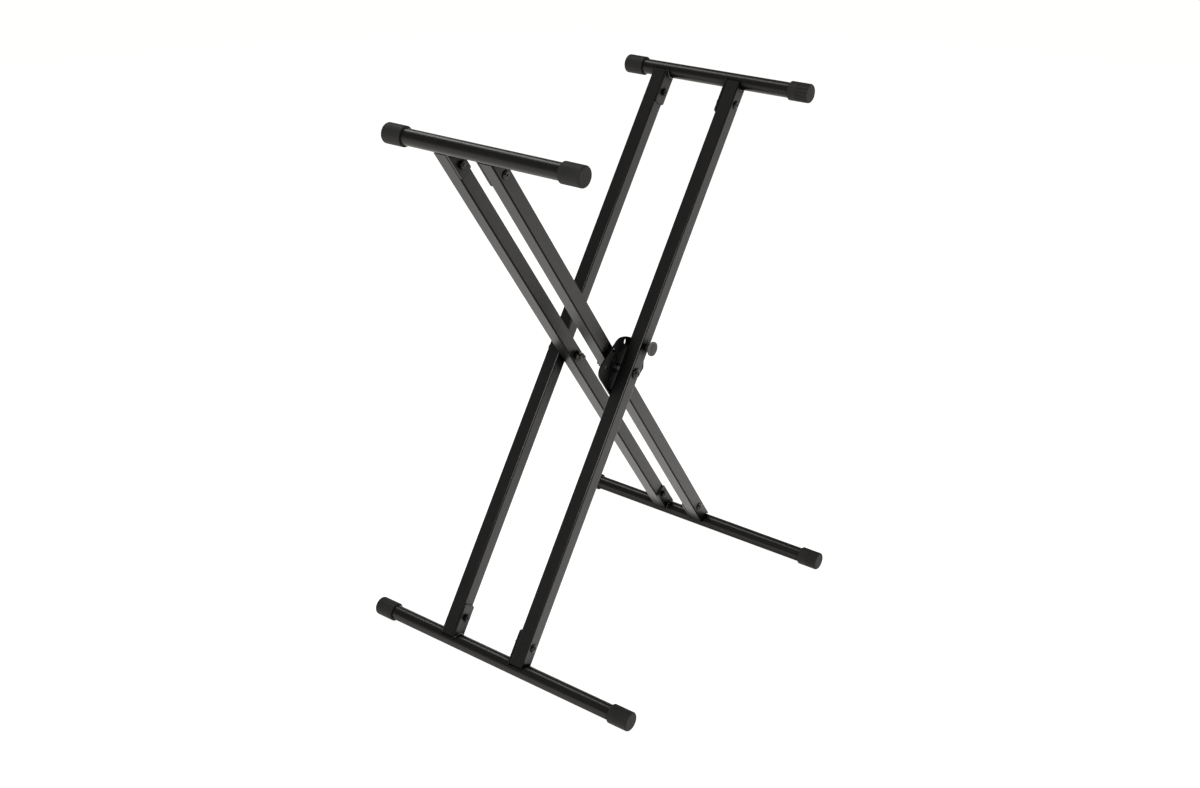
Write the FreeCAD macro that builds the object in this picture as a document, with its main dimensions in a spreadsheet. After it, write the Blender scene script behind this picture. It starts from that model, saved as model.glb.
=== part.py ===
import FreeCAD, Part
import math
import os

import Sketcher

# Folding double-X keyboard stand.
#
# Two welded-and-bolted frames cross at a common pivot axis.  Each frame is a
# pair of square legs between a round foot tube and a shorter round arm tube.
# The round tubes lie a little to the underside of their legs' centre planes.
# The outer frame carries a sprung pull knob whose pin drops into radial slots
# of a dished lock plate riveted to the near leg of the inner frame.
#
# World frame: +Z up, floor at z = 0, both arm tubes equally far from x = 0,
# pivot axis parallel to Y and all round tubes centred on y = 0.  Near is the
# -Y side, where the knob sits.
#
# Every sub-part is drawn in the frame of the leg pair it belongs to: origin on
# the pivot axis at y = 0, local Z up along the legs, local Y as in the world.
# Its placement moves it to the pivot axis and leans it by the leg angle.

doc = FreeCAD.newDocument("keyboard_stand")
sheet = doc.addObject("Spreadsheet::Sheet", "Sizes")


# ---------------------------------------------------------------------------
# Sizes: a number together with its spreadsheet formula
# ---------------------------------------------------------------------------

class Size:
    """A length or angle held as a number and as the formula that gives it."""

    def __init__(self, value, text):
        self.value = value
        self.text = text

    def __add__(self, other):
        return Size(self.value + number(other), f"({self.text} + {formula(other)})")

    def __radd__(self, other):
        return Size(number(other) + self.value, f"({formula(other)} + {self.text})")

    def __sub__(self, other):
        return Size(self.value - number(other), f"({self.text} - {formula(other)})")

    def __rsub__(self, other):
        return Size(number(other) - self.value, f"({formula(other)} - {self.text})")

    def __mul__(self, other):
        return Size(self.value * number(other), f"({self.text} * {formula(other)})")

    def __rmul__(self, other):
        return Size(number(other) * self.value, f"({formula(other)} * {self.text})")

    def __truediv__(self, other):
        return Size(self.value / number(other), f"({self.text} / {formula(other)})")

    def __neg__(self):
        return Size(-self.value, f"(0 - {self.text})")


def number(item):
    return item.value if isinstance(item, Size) else float(item)


def formula(item):
    return item.text if isinstance(item, Size) else str(item)


def cosine(angle):
    """Cosine of an angle in degrees."""
    return Size(math.cos(math.radians(angle.value)), f"cos({angle.text} * 1 deg)")


def sine(angle):
    """Sine of an angle in degrees."""
    return Size(math.sin(math.radians(angle.value)), f"sin({angle.text} * 1 deg)")


def root(item):
    return Size(math.sqrt(item.value), f"sqrt({item.text})")


def size(name, value, note):
    """Enter one driving size in the sheet and return it."""
    row = size.row
    size.row = row + 1
    sheet.set(f"A{row}", name)
    sheet.set(f"B{row}", str(value))
    sheet.setAlias(f"B{row}", name)
    sheet.set(f"C{row}", note)
    return Size(float(value), f"Sizes.{name}")


size.row = 1

# Overall layout
lean = size("lean", 35.0, "lean of every leg from the vertical, degrees")
foot_reach = size("foot_reach", 506.6, "pivot axis to foot tube axis, along the leg")
outer_arm_reach = size("outer_arm_reach", 510.5, "pivot axis to the outer frame's arm tube")
inner_arm_reach = size("inner_arm_reach", 516.4, "pivot axis to the inner frame's arm tube")
tube_offset = size("tube_offset", 2.5, "round tube axis below its legs' centre plane")
foot_half = size("foot_half", 258.0, "half length of a foot tube")
arm_half = size("arm_half", 175.0, "half length of an arm tube")
tube_radius = size("tube_radius", 12.5, "round tube outside radius")
tube_wall = size("tube_wall", 1.3, "round tube wall")
cap_radius = size("cap_radius", 15.5, "end cap outside radius")
cap_length = size("cap_length", 36.0, "end cap length")
cap_end = size("cap_end", 3.0, "end cap closed end")
cap_round = size("cap_round", 3.0, "rounding of the cap's end edge")
cap_lip = size("cap_lip", 0.8, "chamfer of the cap's open lip")
flute_radius = size("flute_radius", 1.8, "radius of a grip flute on a cap")
flute_length = size("flute_length", 20.0, "length of the fluted part of a cap")
flute_count = size("flute_count", 16, "flutes round a fluted cap")

# Legs
leg_width = size("leg_width", 25.0, "square leg outside width")
leg_wall = size("leg_wall", 1.3, "square leg wall")
leg_corner = size("leg_corner", 2.3, "square leg outside corner radius")
saddle_gap = size("saddle_gap", 1.5, "gap between a leg's saddle cut and the round tube")
saddle_horn = size("saddle_horn", 5.0, "round tube axis to the horns of the saddle cut")
outer_near = size("outer_near", -42.0, "centre of the outer frame's near leg along y")
outer_far = size("outer_far", 103.0, "centre of the outer frame's far leg along y")
near_gap = size("near_gap", 9.5, "gap between the two near legs")
far_gap = size("far_gap", 1.5, "gap between the two far legs")

# Tabs that join the legs to the round tubes
tab_thickness = size("tab_thickness", 3.0, "tab thickness")
tab_width = size("tab_width", 24.6, "tab width")
tab_reach = size("tab_reach", 62.0, "round tube axis to the tab's free end")
tab_chamfer = size("tab_chamfer", 3.5, "corner chamfer at the tab's free end")
tab_bevel = size("tab_bevel", 2.2, "bevel across the tab's free end")
tab_heel = size("tab_heel", 2.0, "round tube axis to the tab's heel beside the tube")
outer_foot_bolt = size("outer_foot_bolt", 40.0, "foot tube axis to its bolts, outer frame")
inner_foot_bolt = size("inner_foot_bolt", 49.0, "foot tube axis to its bolts, inner frame")
arm_bolt = size("arm_bolt", 41.0, "arm tube axis to its bolts, both frames")

# Fasteners
end_shank = size("end_shank", 3.0, "end bolt shank radius")
end_head = size("end_head", 6.6, "end bolt head radius")
end_head_height = size("end_head_height", 3.8, "end bolt head height")
end_nut = size("end_nut", 5.0, "end nut half width across flats")
end_nut_height = size("end_nut_height", 5.0, "end nut height")
pivot_shank = size("pivot_shank", 4.0, "pivot bolt shank radius")
pivot_head = size("pivot_head", 8.5, "pivot bolt head radius")
pivot_head_height = size("pivot_head_height", 5.5, "pivot bolt head height")
pivot_nut = size("pivot_nut", 6.5, "pivot nut half width across flats")
pivot_nut_height = size("pivot_nut_height", 8.0, "pivot lock nut height")
pivot_tip = size("pivot_tip", 6.5, "pivot bolt end past its nut")
end_tip = size("end_tip", 1.5, "end bolt end past its nut")
washer_radius = size("washer_radius", 8.4, "pivot washer radius")
washer_thickness = size("washer_thickness", 1.4, "pivot washer thickness")
spacer_radius = size("spacer_radius", 7.5, "spacer radius between the near legs")
bolt_clearance = size("bolt_clearance", 0.08, "pivot shank clearance in its holes, radial")
hole_clearance = size("hole_clearance", 0.3, "end bolt clearance in its holes, radial")
seat_gap = size("seat_gap", 0.05, "slack on each sliding face of the pivot stack")

# Lock plate
plate_gap = size("plate_gap", 1.0, "outer near leg to the plate's rim")
plate_thickness = size("plate_thickness", 2.4, "lock plate sheet thickness")
dish_radius = size("dish_radius", 40.2, "radius where the dish leaves the rim")
dish_floor = size("dish_floor", 36.0, "radius of the dish's flat floor")
plate_top = size("plate_top", 53.9, "plate top edge above the pivot, along the leg")
plate_bottom = size("plate_bottom", 50.0, "plate bottom edge below the pivot")
plate_left = size("plate_left", 46.5, "plate side edge from the leg's centre line")
plate_corner = size("plate_corner", 16.0, "corner radius of the plate's left side")
top_end = size("top_end", 13.5, "right end of the straight top edge")
turn_radius = size("turn_radius", 24.0, "corner radius right of the top edge")
turn_out = size("turn_out", 31.5, "end of that corner, right of the leg's line")
turn_up = size("turn_up", 47.4, "end of that corner above the pivot")
shoulder_radius = size("shoulder_radius", 75.0, "outline radius of the plate's shoulder")
shoulder_out = size("shoulder_out", 53.6, "end of the shoulder, right of the leg's line")
shoulder_up = size("shoulder_up", 4.4, "end of the shoulder above the pivot")
hip_radius = size("hip_radius", 60.0, "outline radius below the shoulder")
hip_out = size("hip_out", 37.5, "lower end of that curve, right of the leg's line")
slot_inner = size("slot_inner", 42.2, "slot inner end radius")
slot_outer = size("slot_outer", 51.8, "slot outer end radius")
slot_width = size("slot_width", 6.6, "slot width")
slot_step = size("slot_step", 26.5, "angle between working slots, degrees")
slot_folded = size("slot_folded", 5.0, "leg angle held by the folded slot, degrees")
slot_spare = size("slot_spare", 31.8, "angle of the spare slot left of the leg, degrees")
rivet_reach = size("rivet_reach", 26.0, "pivot to each plate rivet along the leg")
rivet_shank = size("rivet_shank", 2.4, "plate rivet shank radius")
rivet_head = size("rivet_head", 4.8, "plate rivet head radius")
rivet_height = size("rivet_height", 1.9, "plate rivet head height")

# Pull knob and pin
lock_radius = size("lock_radius", 45.6, "pivot to the lock pin axis")
pin_radius = size("pin_radius", 3.0, "lock pin radius")
pin_nose = size("pin_nose", 0.5, "drawn pin nose proud of the leg's inner face")
pin_nose_chamfer = size("pin_nose_chamfer", 0.8, "chamfer on the pin nose")
collar_radius = size("collar_radius", 5.0, "pin collar radius")
collar_thickness = size("collar_thickness", 1.2, "pin collar thickness")
collar_back = size("collar_back", 5.6, "drawn collar to the leg's far wall, inside")
bush_radius = size("bush_radius", 5.0, "bushing radius outside the leg")
bush_height = size("bush_height", 6.5, "bushing height outside the leg")
bush_flange = size("bush_flange", 6.5, "bushing flange radius inside the leg")
bush_flange_thickness = size("bush_flange_thickness", 1.2, "bushing flange thickness")
bush_bore_gap = size("bush_bore_gap", 0.06, "pin running clearance in the bushing")
hub_radius = size("hub_radius", 6.9, "knob hub radius")
hub_bore_gap = size("hub_bore_gap", 0.5, "hub bore clearance over the bushing")
hub_length = size("hub_length", 6.0, "knob hub length behind its head")
head_radius = size("head_radius", 12.0, "knob head radius")
head_height = size("head_height", 4.2, "knob head thickness at the rim")
head_dome = size("head_dome", 0.9, "dome of the knob's front face")
head_front = size("head_front", 16.0, "drawn knob rim front to the leg's front face")
spring_wire = size("spring_wire", 0.5, "spring wire radius")
spring_mean = size("spring_mean", 4.2, "spring coil mean radius")
spring_turns = size("spring_turns", 5.0, "spring turns")

doc.recompute()

# Derived positions, all along y unless said otherwise
pivot_height = cap_radius + foot_reach * cosine(lean) + tube_offset * sine(lean)
pivot_shift = (inner_arm_reach - outer_arm_reach) * sine(lean) / 2
arm_reach = {"outer": outer_arm_reach, "inner": inner_arm_reach}
underside = {"outer": 1, "inner": -1}
half_leg = leg_width / 2
inner_near = outer_near + leg_width + near_gap
inner_far = outer_far - leg_width - far_gap
outer_near_front = outer_near - half_leg
outer_near_back = outer_near + half_leg
inner_near_front = inner_near - half_leg
plate_front = outer_near_back + plate_gap
floor_front = inner_near_front - plate_thickness
slot_rest = lean * 2
knob_bush_front = outer_near_front - bush_height
knob_head_back = outer_near_front - head_front + head_height
wall_back_inside = outer_near_back - leg_wall

nodes = []


# ---------------------------------------------------------------------------
# Drawing helpers
# ---------------------------------------------------------------------------

def bind(item, path, value):
    """Tie one property of an object to its formula."""
    item.setExpression(path, formula(value))


def new_body(name):
    body = doc.addObject("PartDesign::Body", name)
    body.Label = name
    return body


def origin_feature(body, role):
    for feature in body.Origin.OriginFeatures:
        if feature.Role == role:
            return feature
    raise ValueError(role)


def new_sketch(body, name, plane, along=0.0, up=0.0, out=0.0):
    """Sketch on a base plane, moved along its own x, y and normal."""
    sketch = body.newObject("Sketcher::SketchObject", name)
    sketch.AttachmentSupport = [(origin_feature(body, plane), "")]
    sketch.MapMode = "FlatFace"
    for axis, shift in (("x", along), ("y", up), ("z", out)):
        if isinstance(shift, Size):
            bind(sketch, f"AttachmentOffset.Base.{axis}", shift)
    return sketch


def pin_point(sketch, edge, end, x, y):
    """Fix one end of an edge at x, y of its sketch."""
    if isinstance(x, Size):
        index = sketch.addConstraint(
            Sketcher.Constraint("DistanceX", -1, 1, edge, end, x.value))
        bind(sketch, f"Constraints[{index}]", x)
    else:
        sketch.addConstraint(Sketcher.Constraint("PointOnObject", edge, end, -2))
    if isinstance(y, Size):
        index = sketch.addConstraint(
            Sketcher.Constraint("DistanceY", -1, 1, edge, end, y.value))
        bind(sketch, f"Constraints[{index}]", y)
    else:
        sketch.addConstraint(Sketcher.Constraint("PointOnObject", edge, end, -1))


def arc_between(start, finish, radius, centre_on_left):
    """Minor arc between two points, and which of its ends is the start."""
    chord = finish - start
    normal = FreeCAD.Vector(-chord.y, chord.x, 0)
    normal.normalize()
    if not centre_on_left:
        normal = normal * -1
    rise = math.sqrt(max(radius ** 2 - (chord.Length / 2) ** 2, 0.0))
    centre = (start + finish) * 0.5 + normal * rise
    circle = Part.Circle(centre, FreeCAD.Vector(0, 0, 1), radius)
    first, last = (start, finish) if centre_on_left else (finish, start)
    angles = [math.atan2(p.y - centre.y, p.x - centre.x) for p in (first, last)]
    return Part.ArcOfCircle(circle, angles[0], angles[1]), 1 if centre_on_left else 2


def outline(sketch, points, arcs=None):
    """Closed outline; arcs maps a corner's number to (radius, centre on left)."""
    arcs = arcs or {}
    corners = [FreeCAD.Vector(number(x), number(y), 0) for x, y in points]
    edges = []
    for i, start in enumerate(corners):
        finish = corners[(i + 1) % len(corners)]
        if i in arcs:
            shape, first_end = arc_between(start, finish, arcs[i][0].value, arcs[i][1])
        else:
            shape, first_end = Part.LineSegment(start, finish), 1
        edges.append((sketch.addGeometry(shape, False), first_end))
    for i, (edge, first_end) in enumerate(edges):
        before, before_first = edges[i - 1]
        sketch.addConstraint(
            Sketcher.Constraint("Coincident", before, 3 - before_first, edge, first_end))
    for i, (edge, first_end) in enumerate(edges):
        pin_point(sketch, edge, first_end, points[i][0], points[i][1])
        if i in arcs:
            index = sketch.addConstraint(
                Sketcher.Constraint("Radius", edge, arcs[i][0].value))
            bind(sketch, f"Constraints[{index}]", arcs[i][0])


def circle_at(sketch, x, y, radius):
    """Circle with its centre at x, y of the sketch."""
    centre = FreeCAD.Vector(number(x), number(y), 0)
    shape = Part.Circle(centre, FreeCAD.Vector(0, 0, 1), radius.value)
    edge = sketch.addGeometry(shape, False)
    if isinstance(x, Size) or isinstance(y, Size):
        pin_point(sketch, edge, 3, x, y)
    else:
        sketch.addConstraint(Sketcher.Constraint("Coincident", edge, 3, -1, 1))
    index = sketch.addConstraint(Sketcher.Constraint("Radius", edge, radius.value))
    bind(sketch, f"Constraints[{index}]", radius)


def rounded_square(sketch, half, corner):
    """Square of half width half about the sketch origin, corners rounded."""
    inner = half - corner
    points = [(half, -inner), (half, inner), (inner, half), (-inner, half),
              (-half, inner), (-half, -inner), (-inner, -half), (inner, -half)]
    outline(sketch, points, {i: (corner, True) for i in (1, 3, 5, 7)})


def hexagon(sketch, flat):
    """Hexagon about the sketch origin, half width flat across its flats."""
    side = flat * (2.0 / math.sqrt(3.0))
    points = [(side, 0), (side / 2, flat), (-side / 2, flat),
              (-side, 0), (-side / 2, -flat), (side / 2, -flat)]
    outline(sketch, points)


def pad(body, sketch, length, backwards=False):
    feature = body.newObject("PartDesign::Pad", sketch.Name + "_pad")
    feature.Profile = sketch
    bind(feature, "Length", length)
    feature.Reversed = backwards
    sketch.Visibility = False
    return feature


def pocket(body, sketch, length=None, backwards=False):
    """Pocket of one length, or right through both ways without one."""
    feature = body.newObject("PartDesign::Pocket", sketch.Name + "_pocket")
    feature.Profile = sketch
    if length is None:
        feature.Midplane = True
        feature.Type = "ThroughAll"
    else:
        bind(feature, "Length", length)
        feature.Reversed = backwards
    sketch.Visibility = False
    return feature


def revolve(body, sketch):
    """Full turn about the sketch's own x axis."""
    feature = body.newObject("PartDesign::Revolution", sketch.Name + "_turned")
    feature.Profile = sketch
    feature.ReferenceAxis = (sketch, ["H_Axis"])
    feature.Angle = 360.0
    sketch.Visibility = False
    return feature


def round_edges_at(body, base, radius, position, axis_up, kind="PartDesign::Fillet"):
    """Fillet or chamfer the circular edge at one y and one radius."""
    names = []
    for i, edge in enumerate(base.Shape.Edges, start=1):
        if not hasattr(edge.Curve, "Center"):
            continue
        centre = edge.Curve.Center
        on_axis = abs(centre.z - axis_up.value) < 0.01
        if on_axis and abs(centre.y - position[0].value) < 0.01:
            if abs(edge.Curve.Radius - position[1].value) < 0.01:
                names.append(f"Edge{i}")
    feature = body.newObject(kind, base.Name + "_edge")
    feature.Base = (base, names)
    bind(feature, "Radius" if kind.endswith("Fillet") else "Size", radius)
    return feature


def place(item, frame):
    """Move a sub-part to the pivot axis and lean it with its frame."""
    axis = FreeCAD.Vector(0, underside[frame], 0)
    base = FreeCAD.Vector(pivot_shift.value, 0, pivot_height.value)
    item.Placement = FreeCAD.Placement(base, FreeCAD.Rotation(axis, lean.value))
    bind(item, "Placement.Base.x", pivot_shift)
    bind(item, "Placement.Base.z", pivot_height)
    bind(item, "Placement.Rotation.Angle", lean)


def keep(item, frame):
    """Place a finished sub-part and list it for export."""
    place(item, frame)
    nodes.append(item)


def group(name, bodies, frame):
    """Several equal fasteners as one sub-part of separate solids."""
    for body in bodies:
        place(body, frame)
    compound = doc.addObject("Part::Compound", name)
    compound.Label = name
    compound.Links = bodies
    nodes.append(compound)


def turned(name, up, points, arcs=None, across=0.0):
    """Body turned about a line parallel to y at height up; points are (y, radius)."""
    body = new_body(name)
    sketch = new_sketch(body, name + "_profile", "YZ_Plane", up=up, out=across)
    outline(sketch, points, arcs)
    revolve(body, sketch)
    return body


# ---------------------------------------------------------------------------
# Round tubes and their caps
# ---------------------------------------------------------------------------

def round_tube(name, frame, up, half):
    body = new_body(name)
    across = tube_offset * underside[frame]
    sketch = new_sketch(body, name + "_section", "XZ_Plane", across, up, -half)
    circle_at(sketch, 0, 0, tube_radius)
    circle_at(sketch, 0, 0, tube_radius - tube_wall)
    pad(body, sketch, half * 2)
    keep(body, frame)


def end_cap(name, frame, up, half, side, fluted):
    """Push-on cap over a tube end; side is -1 near and +1 far."""
    closed = side * (half + cap_end)
    seat = side * half
    lip = side * (half + cap_end - cap_length)
    points = [(closed, 0), (closed, cap_radius), (lip, cap_radius),
              (lip, tube_radius), (seat, tube_radius), (seat, 0)]
    across = tube_offset * underside[frame]
    body = turned(name, up, points, across=across)
    doc.recompute()
    feature = round_edges_at(body, body.Tip, cap_round, (closed, cap_radius), up)
    doc.recompute()
    feature = round_edges_at(
        body, feature, cap_lip, (lip, cap_radius), up, "PartDesign::Chamfer")
    if fluted:
        sketch = new_sketch(body, name + "_flute", "XZ_Plane", across, up, -closed)
        circle_at(sketch, 0, cap_radius + flute_radius / 3, flute_radius)
        cut = pocket(body, sketch, flute_length, backwards=side > 0)
        pattern = body.newObject("PartDesign::PolarPattern", name + "_flutes")
        pattern.Originals = [cut]
        pattern.Axis = (sketch, ["N_Axis"])
        pattern.Angle = 360.0
        bind(pattern, "Occurrences", flute_count)
        body.Tip = pattern
    keep(body, frame)


# ---------------------------------------------------------------------------
# Legs, tabs and end fasteners
# ---------------------------------------------------------------------------

def leg(name, frame, centre, bolt_heights):
    """Square tube leg with its saddle cuts and bolt holes; not yet kept."""
    lower = -(foot_reach - saddle_horn)
    upper = arm_reach[frame] - saddle_horn
    across = tube_offset * underside[frame]
    body = new_body(name)
    section = new_sketch(body, name + "_section", "XY_Plane", up=centre, out=lower)
    rounded_square(section, half_leg, leg_corner)
    rounded_square(section, half_leg - leg_wall, leg_corner - leg_wall)
    pad(body, section, upper - lower)
    saddles = new_sketch(body, name + "_saddles", "XZ_Plane", out=-centre)
    for height in (-foot_reach, arm_reach[frame]):
        circle_at(saddles, across, height, tube_radius + saddle_gap)
    pocket(body, saddles)
    holes = new_sketch(body, name + "_holes", "XZ_Plane", out=-centre)
    circle_at(holes, 0, 0, pivot_shank + bolt_clearance)
    for height in bolt_heights:
        circle_at(holes, 0, height, end_shank + hole_clearance)
    pocket(body, holes)
    return body


def plunger_holes(body, centre):
    """Bushing hole in the front wall and pin hole in the back wall."""
    front = new_sketch(body, "plunger_front_hole", "XZ_Plane",
                       up=lock_radius, out=-(centre - half_leg))
    circle_at(front, 0, 0, bush_radius)
    pocket(body, front, leg_wall * 2)
    back = new_sketch(body, "plunger_back_hole", "XZ_Plane",
                      up=lock_radius, out=-(centre + half_leg))
    circle_at(back, 0, 0, pin_radius + hole_clearance)
    pocket(body, back, leg_wall * 2, backwards=True)


def rivet_holes(body, centre):
    """Holes in the front wall for the lock plate's rivets."""
    sketch = new_sketch(body, "rivet_holes", "XZ_Plane", out=-(centre - half_leg))
    circle_at(sketch, 0, rivet_reach, rivet_shank)
    circle_at(sketch, 0, -rivet_reach, rivet_shank)
    pocket(body, sketch, leg_wall * 2)


def tab(name, frame, tube_up, away, bolt_up, face, thicken):
    """Flat tab coped onto a round tube and lying on a leg's inner face.

    away is +1 when the tab runs up the leg from its tube and -1 when down;
    thicken is +1 when it lies on the leg's far side and -1 on its near side.
    The tube's axis is off the tab's centre line, toward the legs' underside,
    so the tab's other side passes the tube and ends in a heel beside it.
    """
    half = tab_width / 2
    under = underside[frame]
    heel = tube_up + away * tab_heel
    heel_in = tube_offset - root(tube_radius * tube_radius - tab_heel * tab_heel)
    side = half - tube_offset
    shoulder = tube_up + away * root(tube_radius * tube_radius - side * side)
    free_end = tube_up + away * tab_reach
    slope = free_end - away * tab_chamfer
    corner = half - tab_chamfer
    points = [(-under * half, heel), (under * heel_in, heel), (under * half, shoulder),
              (under * half, slope), (under * corner, free_end),
              (-under * corner, free_end), (-under * half, slope)]
    body = new_body(name)
    sketch = new_sketch(body, name + "_outline", "XZ_Plane", out=-face)
    outline(sketch, points, {1: (tube_radius, away * under < 0)})
    circle_at(sketch, 0, bolt_up, end_shank + hole_clearance)
    pad(body, sketch, tab_thickness, backwards=thicken > 0)
    doc.recompute()
    bevel_end(body, free_end, face + thicken * tab_thickness)
    keep(body, frame)


def bevel_end(body, up, face):
    """Bevel the straight edge that runs across a tab at height up and y = face."""
    base = body.Tip
    names = []
    for i, edge in enumerate(base.Shape.Edges, start=1):
        ends = [vertex.Point for vertex in edge.Vertexes]
        on_face = all(abs(point.y - face.value) < 0.01 for point in ends)
        if on_face and all(abs(point.z - up.value) < 0.01 for point in ends):
            names.append(f"Edge{i}")
    feature = body.newObject("PartDesign::Chamfer", base.Name + "_bevel")
    feature.Base = (base, names)
    bind(feature, "Size", tab_bevel)


def domed_bolt(name, up, face, outward, head, height, shank, length):
    """Domed bolt; face is the y its head rests on and outward the head's side."""
    top = face + outward * height
    rim = face + outward * (height / 3)
    crown = head / 2
    recess = head / 4
    recess_floor = top - outward * (height / 2)
    tip = face - outward * length
    point = tip + outward * (shank / 4)
    points = [(recess_floor, 0), (recess_floor, recess), (top, recess), (top, crown),
              (rim, head), (face, head), (face, shank), (point, shank),
              (tip, shank * 0.75), (tip, 0)]
    radius = Size((head.value ** 2) / height.value * 0.55,
                  f"({head.text} ^ 2 / {height.text} * 0.55)")
    return turned(name, up, points, {3: (radius, outward > 0)})


def hex_nut(name, up, face, outward, flat, height, bore):
    """Nut whose seat is at y = face, standing out on the given side."""
    body = new_body(name)
    sketch = new_sketch(body, name + "_hexagon", "XZ_Plane", up=up, out=-face)
    hexagon(sketch, flat)
    circle_at(sketch, 0, 0, bore)
    pad(body, sketch, height, backwards=outward > 0)
    return body


def ring(name, up, start, finish, outside, bore):
    """Plain ring about the axis at height up, from y = start to finish."""
    points = [(start, bore), (start, outside), (finish, outside), (finish, bore)]
    return turned(name, up, points)


def leg_pair(frame, near, far, foot_bolt):
    """The two legs of one frame with their tabs, bolts and nuts."""
    foot_up = -foot_reach
    arm_up = arm_reach[frame]
    foot_bolt_up = foot_up + foot_bolt
    arm_bolt_up = arm_up - arm_bolt
    bolts = []
    nuts = []
    legs = {}
    for end, centre, inward in (("near", near, 1), ("far", far, -1)):
        legs[end] = leg(f"{frame}_leg_{end}", frame, centre, [foot_bolt_up, arm_bolt_up])
        inner_face = centre + inward * half_leg
        tab(f"{frame}_foot_tab_{end}", frame, foot_up, 1, foot_bolt_up, inner_face, inward)
        tab(f"{frame}_arm_tab_{end}", frame, arm_up, -1, arm_bolt_up, inner_face, inward)
        outer_face = centre - inward * half_leg
        nut_face = inner_face + inward * tab_thickness
        length = leg_width + tab_thickness + end_nut_height + end_tip
        for place_name, up in (("foot", foot_bolt_up), ("arm", arm_bolt_up)):
            bolts.append(domed_bolt(f"{frame}_{place_name}_bolt_{end}", up, outer_face, -inward,
                                    end_head, end_head_height, end_shank, length))
            nuts.append(hex_nut(f"{frame}_{place_name}_nut_{end}", up, nut_face, inward,
                                end_nut, end_nut_height, end_shank))
    group(f"{frame}_end_bolts", bolts, frame)
    group(f"{frame}_end_nuts", nuts, frame)
    return legs


# ---------------------------------------------------------------------------
# Pivot stacks
# ---------------------------------------------------------------------------

def pivot_stack(side, outer_centre, inner_centre, inward, head_name):
    """Bolt, washer and nut of one pivot; inward points to the inner leg."""
    head_face = outer_centre - inward * half_leg
    washer_seat = inner_centre + inward * (half_leg + seat_gap)
    nut_seat = washer_seat + inward * washer_thickness
    tip = nut_seat + inward * (pivot_nut_height + pivot_tip)
    length = inward * (tip - head_face)
    axis = Size(0.0, "0")
    bolt = domed_bolt(head_name, axis, head_face, -inward, pivot_head,
                      pivot_head_height, pivot_shank, length)
    keep(bolt, "outer")
    washer = ring(f"pivot_washer_{side}_body", axis, washer_seat, nut_seat,
                  washer_radius, pivot_shank)
    nut = hex_nut(f"pivot_nut_{side}_body", axis, nut_seat, inward,
                  pivot_nut, pivot_nut_height, pivot_shank)
    return washer, nut


def pivot_parts():
    near_washer, near_nut = pivot_stack("near", outer_near, inner_near, 1, "pivot_bolt_near")
    far_washer, far_nut = pivot_stack("far", outer_far, inner_far, -1, "pivot_bolt_far")
    group("pivot_nuts", [near_nut, far_nut], "outer")
    group("pivot_washers", [near_washer, far_washer], "outer")
    axis = Size(0.0, "0")
    spacer = ring("pivot_spacer_near", axis, outer_near_back, floor_front - seat_gap,
                  spacer_radius, pivot_shank)
    keep(spacer, "outer")
    shim = ring("pivot_shim_far", axis, outer_far - half_leg,
                inner_far + half_leg + seat_gap, washer_radius, pivot_shank)
    keep(shim, "outer")


# ---------------------------------------------------------------------------
# Lock plate and its rivets, on the inner frame
# ---------------------------------------------------------------------------

def plate_slot(body, name, angle, turn):
    """Radial slot for the pin, turned from the leg's line by angle."""
    sketch = new_sketch(body, name, "XZ_Plane", out=-plate_front)
    offset = sketch.AttachmentOffset
    offset.Rotation = FreeCAD.Rotation(FreeCAD.Vector(0, 0, turn), angle.value)
    sketch.AttachmentOffset = offset
    bind(sketch, "AttachmentOffset.Rotation.Angle", angle)
    half = slot_width / 2
    low = slot_inner + half
    high = slot_outer - half
    points = [(half, low), (half, high), (0, slot_outer), (-half, high),
              (-half, low), (0, slot_inner)]
    outline(sketch, points, {i: (half, True) for i in (1, 2, 4, 5)})
    pocket(body, sketch, plate_thickness * 2)


def lock_plate():
    body = new_body("lock_plate")
    rim = new_sketch(body, "plate_rim", "XZ_Plane", out=-plate_front)
    bend = plate_corner
    points = [(top_end, plate_top),
              (turn_out, turn_up),
              (shoulder_out, shoulder_up),
              (hip_out, -plate_bottom),
              (bend - plate_left, -plate_bottom),
              (-plate_left, bend - plate_bottom),
              (-plate_left, plate_top - bend),
              (bend - plate_left, plate_top)]
    outline(rim, points, {0: (turn_radius, False), 1: (shoulder_radius, False),
                          2: (hip_radius, False), 4: (bend, False), 6: (bend, False)})
    circle_at(rim, 0, 0, dish_radius + plate_thickness / 3)
    pad(body, rim, plate_thickness, backwards=True)

    dish = new_sketch(body, "plate_dish", "YZ_Plane")
    rim_edge = dish_radius + plate_thickness / 2
    back_run = plate_thickness * 0.5
    points = [(floor_front, pivot_shank + bolt_clearance),
              (floor_front, dish_floor),
              (plate_front, dish_radius),
              (plate_front, rim_edge),
              (plate_front + plate_thickness, rim_edge),
              (floor_front + plate_thickness, dish_floor + back_run),
              (floor_front + plate_thickness, pivot_shank + bolt_clearance)]
    outline(dish, points)
    revolve(body, dish)

    plate_slot(body, "slot_spare_outline", slot_spare, 1)
    for name, angle in (("folded", slot_folded), ("narrow", slot_rest - slot_step),
                        ("middle", slot_rest), ("wide", slot_rest + slot_step),
                        ("widest", slot_rest + slot_step * 2)):
        plate_slot(body, f"slot_{name}_outline", angle, -1)

    holes = new_sketch(body, "plate_rivet_holes", "XZ_Plane", out=-floor_front)
    circle_at(holes, 0, rivet_reach, rivet_shank)
    circle_at(holes, 0, -rivet_reach, rivet_shank)
    pocket(body, holes, plate_thickness * 2)
    keep(body, "inner")


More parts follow.
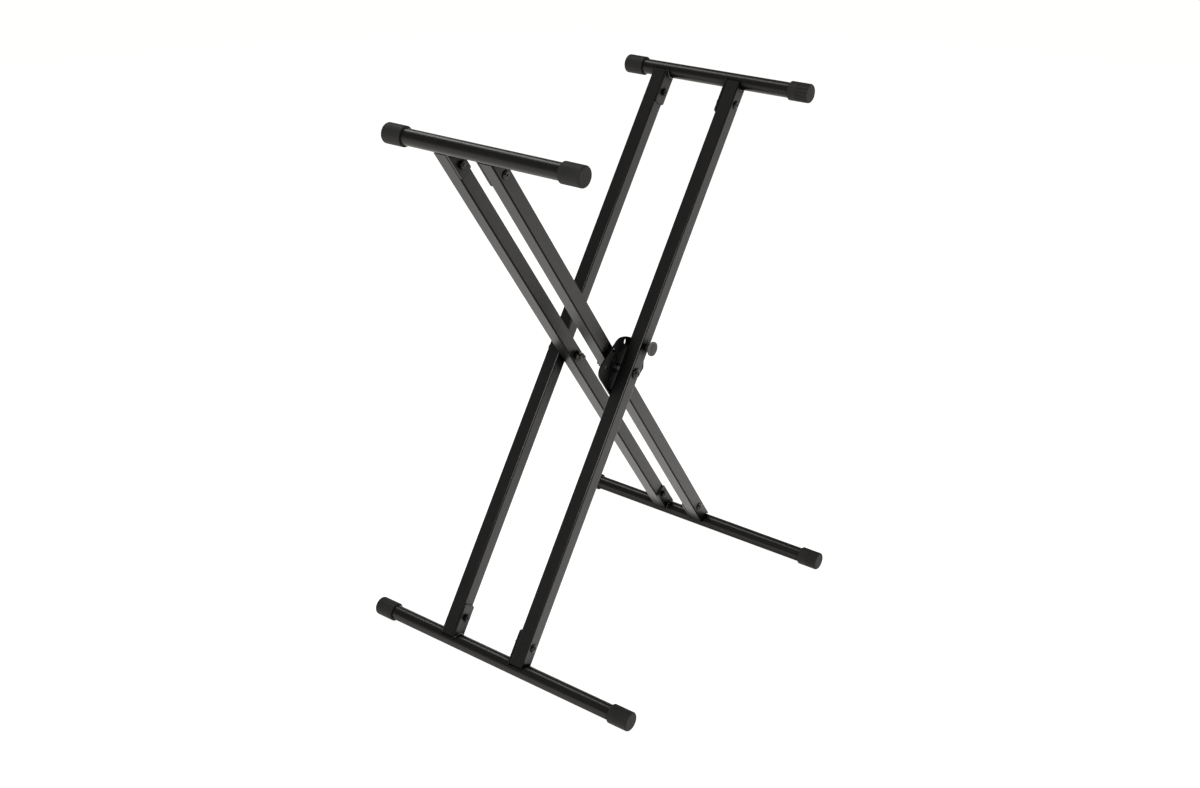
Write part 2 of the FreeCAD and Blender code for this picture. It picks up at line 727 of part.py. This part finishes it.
def plate_rivets():
    rivets = []
    for name, up in (("upper", rivet_reach), ("lower", -rivet_reach)):
        tail = inner_near_front + leg_wall
        bulb = tail + rivet_height
        top = floor_front - rivet_height
        points = [(top, 0), (top, rivet_head / 3), (floor_front, rivet_head),
                  (floor_front, rivet_shank), (tail, rivet_shank),
                  (tail, rivet_shank * 1.4), (bulb, rivet_shank * 1.2), (bulb, 0)]
        bulge = rivet_head * 1.2
        rivets.append(turned(f"plate_rivet_{name}", up, points, {1: (bulge, False)}))
    group("plate_rivets", rivets, "inner")


# ---------------------------------------------------------------------------
# Pull knob, pin, bushing and spring, on the outer frame
# ---------------------------------------------------------------------------

def plunger_bushing():
    inside = outer_near_front + leg_wall
    bore = pin_radius + bush_bore_gap
    points = [(knob_bush_front, bore), (knob_bush_front, bush_radius),
              (inside, bush_radius), (inside, bush_flange),
              (inside + bush_flange_thickness, bush_flange),
              (inside + bush_flange_thickness, bore)]
    keep(turned("plunger_bushing", lock_radius, points), "outer")


def lock_pin():
    nose = outer_near_back + pin_nose
    collar_far = wall_back_inside - collar_back
    collar_near = collar_far - collar_thickness
    points = [(knob_head_back, 0), (knob_head_back, pin_radius),
              (collar_near, pin_radius), (collar_near, collar_radius),
              (collar_far, collar_radius), (collar_far, pin_radius),
              (nose - pin_nose_chamfer, pin_radius),
              (nose, pin_radius - pin_nose_chamfer), (nose, 0)]
    keep(turned("lock_pin", lock_radius, points), "outer")


def pull_knob():
    """Domed disc with a hub that telescopes over the bushing."""
    front = knob_head_back - head_height
    hub_back = knob_head_back + hub_length
    bore = bush_radius + hub_bore_gap
    edge = head_height / 4
    points = [(front - head_dome, 0), (front, head_radius - edge),
              (front + edge, head_radius), (knob_head_back - edge, head_radius),
              (knob_head_back, head_radius - edge), (knob_head_back, hub_radius),
              (hub_back, hub_radius), (hub_back, bore), (knob_head_back, bore),
              (knob_head_back, 0)]
    reach = head_radius - edge
    crown = Size((reach.value ** 2 + head_dome.value ** 2) / (2 * head_dome.value),
                 f"(({reach.text} ^ 2 + {head_dome.text} ^ 2) / (2 * {head_dome.text}))")
    body = turned("pull_knob", lock_radius, points,
                  {0: (crown, False), 1: (edge, False), 3: (edge, False)})
    keep(body, "outer")


def plunger_spring():
    start = outer_near_front + leg_wall + bush_flange_thickness + spring_wire
    finish = wall_back_inside - collar_back - collar_thickness - spring_wire
    height = finish - start
    body = new_body("plunger_spring")
    sketch = new_sketch(body, "spring_wire_section", "YZ_Plane", up=lock_radius)
    circle_at(sketch, start, spring_mean, spring_wire)
    coil = body.newObject("PartDesign::AdditiveHelix", "spring_coil")
    coil.Profile = sketch
    coil.ReferenceAxis = (sketch, ["H_Axis"])
    coil.Mode = 0
    bind(coil, "Pitch", height / spring_turns)
    bind(coil, "Height", height)
    sketch.Visibility = False
    keep(body, "outer")


# ---------------------------------------------------------------------------
# Assembly
# ---------------------------------------------------------------------------

def build():
    foot_up = -foot_reach
    for frame in ("outer", "inner"):
        arm_up = arm_reach[frame]
        round_tube(f"{frame}_foot_tube", frame, foot_up, foot_half)
        round_tube(f"{frame}_arm_tube", frame, arm_up, arm_half)
        for end, side in (("near", -1), ("far", 1)):
            fluted_foot = frame == "inner" and end == "near"
            fluted_arm = frame == "outer" and end == "near"
            end_cap(f"{frame}_foot_cap_{end}", frame, foot_up, foot_half, side, fluted_foot)
            end_cap(f"{frame}_arm_cap_{end}", frame, arm_up, arm_half, side, fluted_arm)
    outer_legs = leg_pair("outer", outer_near, outer_far, outer_foot_bolt)
    inner_legs = leg_pair("inner", inner_near, inner_far, inner_foot_bolt)
    plunger_holes(outer_legs["near"], outer_near)
    rivet_holes(inner_legs["near"], inner_near)
    for body in outer_legs.values():
        keep(body, "outer")
    for body in inner_legs.values():
        keep(body, "inner")
    pivot_parts()
    lock_plate()
    plate_rivets()
    plunger_bushing()
    lock_pin()
    pull_knob()
    plunger_spring()
    doc.recompute()


def check_and_write():
    for item in doc.Objects:
        if "Invalid" in item.State or "Error" in item.State:
            raise RuntimeError(f"{item.Label}: {item.State}")
    os.makedirs("parts", exist_ok=True)
    for item in nodes:
        if item.Shape.isNull() or not item.Shape.isValid():
            raise RuntimeError(f"{item.Label}: bad shape")
        item.Shape.exportStep(f"parts/{item.Label}.step")
        box = item.Shape.BoundBox
        solids = len(item.Shape.Solids)
        print(f"{item.Label:24s} {solids} {item.Shape.Volume:10.1f} "
              f"x {box.XMin:8.2f} {box.XMax:8.2f} y {box.YMin:8.2f} {box.YMax:8.2f} "
              f"z {box.ZMin:8.2f} {box.ZMax:8.2f}")


build()
check_and_write()
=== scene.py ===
import math

import bpy
from mathutils import Matrix, Vector


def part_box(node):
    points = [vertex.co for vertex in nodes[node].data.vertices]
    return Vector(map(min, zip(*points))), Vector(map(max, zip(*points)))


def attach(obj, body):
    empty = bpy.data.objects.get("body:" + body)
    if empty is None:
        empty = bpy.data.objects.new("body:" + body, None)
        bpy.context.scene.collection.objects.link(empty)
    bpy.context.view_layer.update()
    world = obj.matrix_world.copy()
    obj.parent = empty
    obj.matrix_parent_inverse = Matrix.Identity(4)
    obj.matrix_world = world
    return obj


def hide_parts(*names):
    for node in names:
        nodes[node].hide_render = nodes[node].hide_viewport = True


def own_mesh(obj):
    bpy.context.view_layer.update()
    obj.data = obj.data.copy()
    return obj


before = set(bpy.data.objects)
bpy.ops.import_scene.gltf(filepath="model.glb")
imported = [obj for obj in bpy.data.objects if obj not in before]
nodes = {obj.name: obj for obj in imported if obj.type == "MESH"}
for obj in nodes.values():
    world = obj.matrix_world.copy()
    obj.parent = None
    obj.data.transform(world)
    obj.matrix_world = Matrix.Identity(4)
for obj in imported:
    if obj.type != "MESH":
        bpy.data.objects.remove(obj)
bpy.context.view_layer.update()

# Colours, and the colour sockets of a Mix node
WARM = (1.0, 0.965, 0.92, 1.0)
WHITE = (1.0, 1.0, 1.0, 1.0)
# Near-black painted shade, mixed into the colour where ambient occlusion finds a surface
# closed in
PAINTED_SHADE = (0.001, 0.001, 0.001, 1.0)
HUB_BLACK = (0.006, 0.006, 0.006, 1.0)
NODE_MIX_FIRST, NODE_MIX_SECOND, NODE_MIX_RESULT = 6, 7, 2

# Where the knob's lighter rim and its black hub start and are full, in metres
KNOB_RIM = (0.0098, 0.0108)
KNOB_HUB = (-0.0670, -0.0664)

# Rounded corners of the square legs: their gloss as a share of the flats' gloss, its
# roughness, their remaining specular, and the turn of the normal where they start and are full
EDGE_GLOSS = {"outer": 2.0, "inner": 0.1}
EDGE_ROUGHNESS = 0.17
EDGE_SPECULAR = 0.2
EDGE_TURN = (0.12, 0.25)

# Heights in metres between which the gloss changes, and the share of open sky that counts
# as closed in and as open, with the paint's brightness in its painted shade where it is closed
# in
GLOSS_HEIGHTS = (0.05, 0.85)
OPEN_AIR = (0.54, 0.9)
CLOSED_IN = 0.03
GRAIN_SPREAD = (0.3, 0.7)

# Studio: the white backdrop's side, height and edge, the room's level, lamps and floor
BACKDROP_SIDE = (0.80, 0.60, 0.0)
BACKDROP_TOP = (0.04, 0.34)
BACKDROP_EDGE = (-0.25, 0.15)
ROOM_LEVEL = 0.15
LAMP_AIM = (0.0, 0.0, 0.4)
FLOOR_REACH = 60.0

# Places repeated from the CAD, in metres
LEAN = math.radians(35.0)
PIVOT_X, PIVOT_Z = 0.001692, 0.431916
KNOB_AXIS = (0.02785, 0.0, 0.46927)
UNDERSIDE = {"outer": 1, "inner": -1}
TUBE_OFFSET = 0.0025
TUBE_RADIUS = 0.0125
TUBE_ALONG = {"outer": (-0.5066, 0.5105), "inner": (-0.5066, 0.5164)}
THREAD_PLACES = {"near": (0.0146, 0.0198), "far": (0.0492, 0.0544)}
TAB_FACES = {"outer": ((-0.0265, 1), (0.0875, -1)), "inner": ((0.0080, 1), (0.0610, -1))}


# ---------------------------------------------------------------------------
# Node helpers
# ---------------------------------------------------------------------------

def new_material(name):
    material = bpy.data.materials.new(name)
    material.use_nodes = True
    tree = material.node_tree
    tree.nodes.clear()
    return material, tree


def add(tree, kind, **settings):
    node = tree.nodes.new(kind)
    for key, value in settings.items():
        setattr(node, key, value)
    return node


def put(node, **values):
    for key, value in values.items():
        node.inputs[key.replace("_", " ")].default_value = value


def noise(tree, coord, scale, detail=2.0, roughness=0.5):
    node = add(tree, "ShaderNodeTexNoise")
    put(node, Scale=scale, Detail=detail, Roughness=roughness)
    tree.links.new(coord, node.inputs["Vector"])
    return node.outputs["Fac"]


def ramp(tree, value, low, high, out_low, out_high):
    node = add(tree, "ShaderNodeMapRange")
    node.inputs["From Min"].default_value = low
    node.inputs["From Max"].default_value = high
    node.inputs["To Min"].default_value = out_low
    node.inputs["To Max"].default_value = out_high
    tree.links.new(value, node.inputs["Value"])
    return node.outputs["Result"]


def times(tree, first, second):
    node = add(tree, "ShaderNodeMath", operation="MULTIPLY")
    tree.links.new(first, node.inputs[0])
    if isinstance(second, float):
        node.inputs[1].default_value = second
    else:
        tree.links.new(second, node.inputs[1])
    return node.outputs[0]


def mix_colour(tree, fac, first, second):
    node = add(tree, "ShaderNodeMix", data_type="RGBA")
    tree.links.new(fac, node.inputs[0])
    node.inputs[NODE_MIX_FIRST].default_value = (*first, 1.0)
    node.inputs[NODE_MIX_SECOND].default_value = (*second, 1.0)
    return node.outputs[NODE_MIX_RESULT]


def bump(tree, height, strength, distance):
    node = add(tree, "ShaderNodeBump")
    put(node, Strength=strength, Distance=distance)
    tree.links.new(height, node.inputs["Height"])
    return node.outputs["Normal"]


def larger(tree, first, second):
    node = add(tree, "ShaderNodeMath", operation="MAXIMUM")
    tree.links.new(first, node.inputs[0])
    tree.links.new(second, node.inputs[1])
    return node.outputs[0]


def new_shader(name):
    """New material with one Principled shader, and its object coordinates."""
    material, tree = new_material(name)
    out = add(tree, "ShaderNodeOutputMaterial")
    shader = add(tree, "ShaderNodeBsdfPrincipled")
    tree.links.new(shader.outputs["BSDF"], out.inputs["Surface"])
    return material, tree, shader, add(tree, "ShaderNodeTexCoord").outputs["Object"]


def component(tree, vector, axis):
    split = add(tree, "ShaderNodeSeparateXYZ")
    tree.links.new(vector, split.inputs[0])
    return split.outputs[axis]


def dot(tree, vector, direction):
    node = add(tree, "ShaderNodeVectorMath", operation="DOT_PRODUCT")
    node.inputs[1].default_value = direction
    tree.links.new(vector, node.inputs[0])
    return node.outputs["Value"]


def leg_edge(tree, side):
    """1 on the rounded corners of one frame's square legs, 0 on their flats."""
    normal = add(tree, "ShaderNodeTexCoord").outputs["Normal"]
    turns = []
    across = (math.cos(LEAN), 0.0, -math.sin(LEAN) * UNDERSIDE[side])
    for direction in (across, (0.0, 1.0, 0.0)):
        size = add(tree, "ShaderNodeMath", operation="ABSOLUTE")
        tree.links.new(dot(tree, normal, direction), size.inputs[0])
        turns.append(size.outputs[0])
    least = add(tree, "ShaderNodeMath", operation="MINIMUM")
    tree.links.new(turns[0], least.inputs[0])
    tree.links.new(turns[1], least.inputs[1])
    return ramp(tree, least.outputs[0], *EDGE_TURN, 0.0, 1.0)


def surface(name, colours, rough, grain, metallic=0.0, specular=0.5, ior=1.5, coat=(0.0, 0.0),
            coat_rough=0.3, patch_scale=18.0, bump_strength=0.3, bump_depth=0.00012,
            recess=0.0, leg_side=None):
    """Paint, rubber or steel: patchy colour and roughness under a fine grain.

    coat is the gloss layer's weight at the floor and at the top of the stand; recess is
    the reach of the painted shade, darker colour and duller gloss in corners and crevices.
    leg_side names the frame whose square legs get smooth edges, glossier on the
    outer frame and duller on the inner one; it needs a recess and a coat.
    """
    material, tree, shader, coord = new_shader(name)
    patches = noise(tree, coord, patch_scale, 4.0, 0.6)
    fine = noise(tree, coord, grain, 3.0, 0.6)
    even = ramp(tree, patches, 0.35, 0.65, 0.0, 1.0)
    colour = mix_colour(tree, even, *colours)
    open_air = None
    if recess > 0.0:
        # Painted shade: ambient occlusion darkens the colour towards near-black and dulls the
        # specular in corners, crevices and between parts
        hollow = add(tree, "ShaderNodeAmbientOcclusion", samples=6)
        put(hollow, Distance=recess)
        open_air = ramp(tree, hollow.outputs["AO"], *OPEN_AIR, CLOSED_IN, 1.0)
        shade_mix = add(tree, "ShaderNodeMix", data_type="RGBA")
        tree.links.new(open_air, shade_mix.inputs[0])
        shade_mix.inputs[NODE_MIX_FIRST].default_value = PAINTED_SHADE
        tree.links.new(colour, shade_mix.inputs[NODE_MIX_SECOND])
        colour = shade_mix.outputs[NODE_MIX_RESULT]
        sheen = times(tree, open_air, specular)
        if leg_side is not None:
            edge = leg_edge(tree, leg_side)
            sheen = times(tree, sheen, ramp(tree, edge, 0.0, 1.0, 1.0, EDGE_SPECULAR))
        tree.links.new(sheen, shader.inputs["Specular IOR Level"])
    else:
        shader.inputs["Specular IOR Level"].default_value = specular
    tree.links.new(colour, shader.inputs["Base Color"])
    tree.links.new(ramp(tree, fine, *GRAIN_SPREAD, *rough), shader.inputs["Roughness"])
    tree.links.new(bump(tree, fine, bump_strength, bump_depth), shader.inputs["Normal"])
    shader.inputs["Metallic"].default_value = metallic
    shader.inputs["IOR"].default_value = ior
    shader.inputs["Specular Tint"].default_value = WARM
    shader.inputs["Coat Roughness"].default_value = coat_rough
    shader.inputs["Coat IOR"].default_value = ior
    if coat[0] > 0.0:
        weight = ramp(tree, component(tree, coord, "Z"), *GLOSS_HEIGHTS, *coat)
        # Painted shade also dulls the coat where ambient occlusion finds the surface closed in
        if open_air is not None:
            weight = times(tree, weight, open_air)
        if leg_side is not None:
            tree.links.new(ramp(tree, edge, 0.0, 1.0, coat_rough, EDGE_ROUGHNESS),
                           shader.inputs["Coat Roughness"])
            weight = times(tree, weight, ramp(tree, edge, 0.0, 1.0, 1.0, EDGE_GLOSS[leg_side]))
        tree.links.new(weight, shader.inputs["Coat Weight"])
    return material


def knob_plastic():
    """Grey moulded head with a lighter rim, on a black hub."""
    material, tree, shader, coord = new_shader("knob_plastic")
    from_axis = add(tree, "ShaderNodeVectorMath", operation="SUBTRACT")
    from_axis.inputs[1].default_value = KNOB_AXIS
    tree.links.new(coord, from_axis.inputs[0])
    across = add(tree, "ShaderNodeVectorMath", operation="MULTIPLY")
    across.inputs[1].default_value = (1.0, 0.0, 1.0)
    tree.links.new(from_axis.outputs[0], across.inputs[0])
    radius = add(tree, "ShaderNodeVectorMath", operation="LENGTH")
    tree.links.new(across.outputs[0], radius.inputs[0])
    rim = ramp(tree, radius.outputs["Value"], *KNOB_RIM, 0.0, 1.0)
    head = mix_colour(tree, rim, (0.050, 0.048, 0.044), (0.14, 0.135, 0.125))
    on_hub = ramp(tree, component(tree, coord, "Y"), *KNOB_HUB, 0.0, 1.0)
    hub = add(tree, "ShaderNodeMix", data_type="RGBA")
    tree.links.new(on_hub, hub.inputs[0])
    tree.links.new(head, hub.inputs[NODE_MIX_FIRST])
    hub.inputs[NODE_MIX_SECOND].default_value = HUB_BLACK
    tree.links.new(hub.outputs[NODE_MIX_RESULT], shader.inputs["Base Color"])
    grain = noise(tree, coord, 1800.0, 3.0, 0.6)
    tree.links.new(ramp(tree, grain, *GRAIN_SPREAD, 0.42, 0.62), shader.inputs["Roughness"])
    tree.links.new(bump(tree, grain, 0.35, 0.00012), shader.inputs["Normal"])
    shader.inputs["Specular IOR Level"].default_value = 0.4
    return material


def dress(material, *names):
    for name in names:
        mesh = nodes[name].data
        if not mesh.materials:
            mesh.materials.append(material)
        for index in range(len(mesh.materials)):
            mesh.materials[index] = material


# ---------------------------------------------------------------------------
# Materials
# ---------------------------------------------------------------------------

leg_paint = {}
for side in ("outer", "inner"):
    leg_paint[side] = surface(
        f"{side}_leg_powder_coat", ((0.0066, 0.0062, 0.0062), (0.0094, 0.0088, 0.0086)),
        (0.32, 0.46), 1400.0, ior=1.34, coat=(0.75, 0.36), coat_rough=0.32, recess=0.06,
        leg_side=side)
weld_paint = surface("weld_paint", ((0.007, 0.0066, 0.0064), (0.012, 0.0115, 0.011)),
                     (0.22, 0.36), 800.0, ior=1.5, coat=(0.6, 0.6), coat_rough=0.2,
                     bump_strength=0.5, bump_depth=0.0002)
tube_paint = surface("tube_powder_coat", ((0.0065, 0.0064, 0.0060), (0.0090, 0.0088, 0.0082)),
                     (0.26, 0.38), 1100.0, ior=1.38, coat=(0.2, 0.05), coat_rough=0.26,
                     recess=0.03)
plate_paint = surface("plate_enamel", ((0.0016, 0.0016, 0.0016), (0.0030, 0.0030, 0.0030)),
                      (0.34, 0.48), 900.0, specular=0.14)
cap_rubber = surface("cap_rubber", ((0.015, 0.015, 0.0145), (0.023, 0.0225, 0.0215)),
                     (0.52, 0.72), 700.0, specular=0.26, bump_strength=0.5)
black_steel = surface("black_oxide_steel", ((0.010, 0.009, 0.009), (0.035, 0.033, 0.031)),
                      (0.16, 0.28), 900.0, metallic=0.6, specular=0.8, patch_scale=160.0,
                      recess=0.004)
dark_thread = surface("worn_black_steel", ((0.03, 0.028, 0.024), (0.22, 0.20, 0.17)),
                      (0.22, 0.4), 900.0, metallic=0.9, patch_scale=240.0)
zinc_steel = surface("zinc_steel", ((0.35, 0.35, 0.34), (0.55, 0.55, 0.54)),
                     (0.28, 0.45), 900.0, metallic=1.0, patch_scale=120.0)
bright_steel = surface("turned_steel", ((0.45, 0.45, 0.44), (0.6, 0.6, 0.59)),
                       (0.2, 0.32), 1200.0, metallic=1.0, patch_scale=200.0)
nylon = surface("black_nylon", ((0.03, 0.03, 0.03), (0.045, 0.045, 0.045)),
                (0.45, 0.6), 900.0, specular=0.4)

for side in ("outer", "inner"):
    dress(leg_paint[side], *(f"{side}_{n}" for n in
                             ("leg_near", "leg_far", "foot_tab_near", "foot_tab_far",
                              "arm_tab_near", "arm_tab_far")))
    dress(tube_paint, f"{side}_foot_tube", f"{side}_arm_tube")
    dress(cap_rubber, *(f"{side}_{n}" for n in
                        ("foot_cap_near", "foot_cap_far", "arm_cap_near", "arm_cap_far")))
    dress(black_steel, f"{side}_end_bolts", f"{side}_end_nuts")
dress(plate_paint, "lock_plate", "plate_rivets")
dress(knob_plastic(), "pull_knob")
dress(black_steel, "plunger_bushing", "pivot_nuts", "pivot_washers", "pivot_bolt_near",
      "pivot_bolt_far")
dress(zinc_steel, "pivot_spacer_near")
dress(nylon, "pivot_shim_far")
dress(bright_steel, "lock_pin", "plunger_spring")


# ---------------------------------------------------------------------------
# Weld beads at the tabs, threads on the pivot bolts, return spring
# ---------------------------------------------------------------------------

def frame_point(side, across, y, along):
    """Point given in a frame's leg axes: across the leg, along y, up the leg."""
    lean = LEAN * UNDERSIDE[side]
    return Vector((PIVOT_X + across * math.cos(lean) + along * math.sin(lean), y,
                   PIVOT_Z - across * math.sin(lean) + along * math.cos(lean)))


def new_piece(name, verts, faces, material, body, slot):
    mesh = bpy.data.meshes.new(name)
    mesh.from_pydata(verts, [], faces)
    piece = bpy.data.objects.new(name, mesh)
    bpy.context.scene.collection.objects.link(piece)
    mesh.materials.append(material)
    mesh.polygons.foreach_set("use_smooth", [True] * len(mesh.polygons))
    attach(piece, body)
    return piece


def circle(sides):
    return [2.0 * math.pi * j / sides for j in range(sides)]


def skin_rings(rings):
    """Vertices and faces of a closed skin over equal rings, ends capped."""
    count = len(rings[0])
    verts = [point for one in rings for point in one]
    faces = []
    for i in range(len(rings) - 1):
        for j in range(count):
            k = (j + 1) % count
            faces.append((i * count + j, i * count + k, (i + 1) * count + k,
                          (i + 1) * count + j))
    faces.append(tuple(reversed(range(count))))
    faces.append(tuple(range((len(rings) - 1) * count, len(rings) * count)))
    return verts, faces


def weld_rings(side, along, away, face, outward, seed):
    """Rippled bead round the tube where a tab's free face meets it."""
    under = UNDERSIDE[side]
    start, finish = -78.0, 50.0
    bead, sink, proud = 0.00115, 0.0003, 0.0002
    steps, sides = 56, 8
    rings = []
    for i in range(steps + 1):
        share = i / steps
        angle = math.radians(start + (finish - start) * share) * under
        ripple = (1.0 + 0.20 * abs(math.sin(share * 31.0 + seed))
                  + 0.10 * math.sin(share * 9.0 + seed))
        taper = min(1.0, 0.25 + 6.0 * min(share, 1.0 - share))
        radius = bead * ripple * taper
        ring = []
        for turn in circle(sides):
            reach = TUBE_RADIUS + sink + radius * math.cos(turn)
            y = face + outward * (proud + radius * math.sin(turn))
            ring.append(frame_point(side, under * TUBE_OFFSET + reach * math.sin(angle), y,
                                    along + away * reach * math.cos(angle)))
        rings.append(ring)
    return rings


def make_welds():
    for side in ("outer", "inner"):
        verts, faces = [], []
        for end, along in enumerate(TUBE_ALONG[side]):
            away = 1 if along < 0 else -1
            for face, outward in TAB_FACES[side]:
                seed = 1.7 * end + 40.0 * face
                more, skin = skin_rings(weld_rings(side, along, away, face, outward, seed))
                faces += [tuple(k + len(verts) for k in one) for one in skin]
                verts += more
        new_piece(f"{side}_weld_beads", verts, faces, weld_paint, f"{side}_frame", "tab_paint")


def thread_rings(start, finish):
    """Helical ridges round the pivot axis from y = start to y = finish."""
    pitch, root, crest, sides = 0.00125, 0.00402, 0.00436, 36
    steps_per_pitch = 8
    steps = int(round((finish - start) / pitch * steps_per_pitch))
    rings = []
    for i in range(steps + 1):
        y = start + (finish - start) * i / steps
        ring = []
        for j, turn in enumerate(circle(sides)):
            phase = ((y - start) / pitch - j / sides) % 1.0
            ends = min(1.0, 0.15 + min(i, steps - i) / 5.0)
            radius = root + (crest - root) * (1.0 - abs(2.0 * phase - 1.0)) * ends
            ring.append(Vector((PIVOT_X + radius * math.cos(turn), y,
                                PIVOT_Z + radius * math.sin(turn))))
        rings.append(ring)
    return rings


def make_threads():
    for end, place in THREAD_PLACES.items():
        new_piece(f"pivot_thread_{end}", *skin_rings(thread_rings(*place)), dark_thread,
                  "outer_frame", "black_fastener")


def make_spring():
    """The CAD's spring again, as a coil piece of its own in place of the hidden CAD part."""
    turns, per_turn, sides = 5, 28, 8
    mean, wire = 0.0042, 0.0005
    low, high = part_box("plunger_spring")
    start, finish = low.y + wire, high.y - wire
    steps = turns * per_turn
    rings = []
    for i in range(steps + 1):
        angle = 2.0 * math.pi * i / per_turn
        out = Vector((math.cos(angle), 0.0, math.sin(angle)))
        centre = Vector((KNOB_AXIS[0], start + (finish - start) * i / steps, KNOB_AXIS[2]))
        rings.append([centre + out * (mean + wire * math.cos(turn))
                      + Vector((0.0, wire * math.sin(turn), 0.0)) for turn in circle(sides)])
    coil = new_piece("plunger_spring_coil", *skin_rings(rings), bright_steel, "outer_frame",
                     "spring_steel")
    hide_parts("plunger_spring")
    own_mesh(coil)


make_welds()
make_threads()
make_spring()


# ---------------------------------------------------------------------------
# Floor, world, lamps
# ---------------------------------------------------------------------------

def seen_ray(tree):
    """1 for camera, glossy and transmission rays, else 0."""
    path = add(tree, "ShaderNodeLightPath").outputs
    direct = larger(tree, path["Is Camera Ray"], path["Is Glossy Ray"])
    return larger(tree, direct, path["Is Transmission Ray"])


def make_floor():
    mesh = bpy.data.meshes.new("floor")
    corners = [(x * FLOOR_REACH, y * FLOOR_REACH, 0)
               for x, y in ((-1, -1), (1, -1), (1, 1), (-1, 1))]
    mesh.from_pydata(corners, [], [(0, 1, 2, 3)])
    floor = bpy.data.objects.new("floor", mesh)
    bpy.context.scene.collection.objects.link(floor)
    material, tree = new_material("floor_paper")
    out = add(tree, "ShaderNodeOutputMaterial")
    paper = add(tree, "ShaderNodeBsdfDiffuse")
    put(paper, Color=(0.82, 0.82, 0.82, 1.0))
    shaded = add(tree, "ShaderNodeBsdfDiffuse")
    put(shaded, Color=(0.45, 0.45, 0.45, 1.0))
    glow = add(tree, "ShaderNodeEmission")
    put(glow, Color=(1.0, 0.985, 0.955, 1.0), Strength=0.96)
    white = add(tree, "ShaderNodeAddShader")
    tree.links.new(shaded.outputs[0], white.inputs[0])
    tree.links.new(glow.outputs[0], white.inputs[1])
    pick = add(tree, "ShaderNodeMixShader")
    tree.links.new(seen_ray(tree), pick.inputs[0])
    tree.links.new(paper.outputs[0], pick.inputs[1])
    tree.links.new(white.outputs[0], pick.inputs[2])
    tree.links.new(pick.outputs[0], out.inputs["Surface"])
    mesh.materials.append(material)


def make_world():
    """White backdrop behind the object, dimmer room above and around the camera."""
    world = bpy.data.worlds.new("studio")
    world.use_nodes = True
    tree = world.node_tree
    tree.nodes.clear()
    out = add(tree, "ShaderNodeOutputWorld")
    coord = add(tree, "ShaderNodeTexCoord").outputs["Generated"]
    low = ramp(tree, component(tree, coord, "Z"), *BACKDROP_TOP, 1.0, 0.0)
    behind = ramp(tree, dot(tree, coord, BACKDROP_SIDE), *BACKDROP_EDGE, 0.0, 1.0)
    level = ramp(tree, times(tree, low, behind), 0.0, 1.0, ROOM_LEVEL, 1.0)
    room = add(tree, "ShaderNodeBackground")
    tree.links.new(level, room.inputs["Strength"])
    plain = add(tree, "ShaderNodeBackground")
    put(plain, Color=WHITE, Strength=1.0)
    path = add(tree, "ShaderNodeLightPath").outputs
    seen = larger(tree, path["Is Camera Ray"], path["Is Transmission Ray"])
    pick = add(tree, "ShaderNodeMixShader")
    tree.links.new(seen, pick.inputs[0])
    tree.links.new(room.outputs[0], pick.inputs[1])
    tree.links.new(plain.outputs[0], pick.inputs[2])
    tree.links.new(pick.outputs[0], out.inputs["Surface"])
    bpy.context.scene.world = world


def softbox(name, place, target, size_x, size_y, power):
    lamp = bpy.data.lights.new(name, "AREA")
    lamp.shape = "RECTANGLE"
    lamp.size = size_x
    lamp.size_y = size_y
    lamp.energy = power
    box = bpy.data.objects.new(name, lamp)
    bpy.context.scene.collection.objects.link(box)
    box.location = place
    box.rotation_euler = (Vector(target) - Vector(place)).to_track_quat("-Z", "Y").to_euler()


make_floor()
make_world()
softbox("key_softbox", (-2.44, -0.75, 2.45), (0.0, 0.0, 0.43), 2.2, 1.0, 52.0)
softbox("front_fill", (1.8, -2.1, 1.6), LAMP_AIM, 1.0, 1.0, 16.0)
softbox("overhead_strip", (0.45, 1.5, 2.75), LAMP_AIM, 0.6, 1.6, 17.0)


# ---------------------------------------------------------------------------
# Camera, solved from the photograph's silhouette
# ---------------------------------------------------------------------------

def make_camera():
    """Camera; sizes and centre are in the photo's pixels, angles in radians."""
    width, height = 1200.0, 788.0
    sensor = 36.0
    place = (-1.7788, -1.3000, 1.4186)
    yaw, pitch, roll = -0.9215, 0.4258, 0.0034
    focal, centre_x, centre_y = 1482.35, 583.0, 372.1
    back = Vector((math.sin(yaw) * math.cos(pitch), -math.cos(yaw) * math.cos(pitch),
                   math.sin(pitch)))
    right = (-back).cross(Vector((0, 0, 1))).normalized()
    up = right.cross(-back)
    level = math.cos(roll), math.sin(roll)
    x_axis = right * level[0] + up * level[1]
    y_axis = up * level[0] - right * level[1]
    data = bpy.data.cameras.new("camera")
    data.sensor_width = sensor
    data.lens = focal / width * sensor
    data.shift_x = (width / 2 - centre_x) / width
    data.shift_y = -(height / 2 - centre_y) / width
    data.clip_end = 200.0
    camera = bpy.data.objects.new("camera", data)
    bpy.context.scene.collection.objects.link(camera)
    turn = Matrix((x_axis, y_axis, back)).transposed().to_4x4()
    camera.matrix_world = Matrix.Translation(place) @ turn
    bpy.context.scene.camera = camera


make_camera()
bpy.context.scene.view_settings.view_transform = "Standard"
